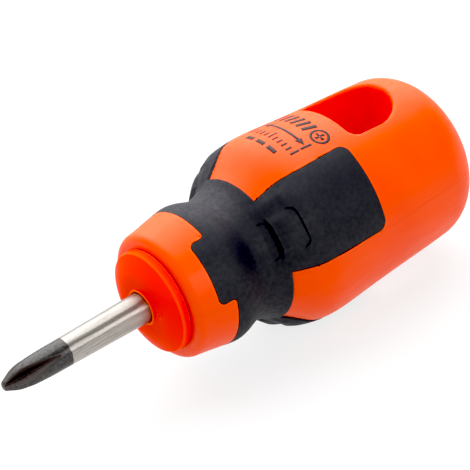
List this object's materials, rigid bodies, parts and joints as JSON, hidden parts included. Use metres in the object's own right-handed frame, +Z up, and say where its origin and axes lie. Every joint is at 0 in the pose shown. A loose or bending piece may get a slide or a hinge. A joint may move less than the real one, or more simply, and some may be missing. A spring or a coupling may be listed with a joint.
{
  "type": "screwdriver",
  "caption": "Stubby cross-tip screwdriver with a short steel blade, a fat moulded handle with a hanging slot, and a soft overmoulded grip.",
  "frame": {"origin": "below the middle of the tool's length, on the surface that it lies on", "axes": "+X along the blade towards its tip, +Z up, through the mouth of the hanging slot and the printed panel"},
  "size_m": [0.0822, 0.0302, 0.0302],
  "materials": {
    "blade_steel": "satin steel shank with fine lengthwise marks, black oxide on the last 11 mm at the tip",
    "core_plastic": "satin red-orange moulded plastic",
    "shell_plastic": "satin orange moulded plastic with a fine parting line",
    "grip_rubber": "matt charcoal thermoplastic rubber, fine moulded texture",
    "print_ink": "thin dark brown-grey pad-printed ink"
  },
  "bodies": {
    "root": {"blade": "blade_steel", "handle_core": "core_plastic", "handle_shell": "shell_plastic", "soft_grip": "grip_rubber"}
  },
  "joints": []
}
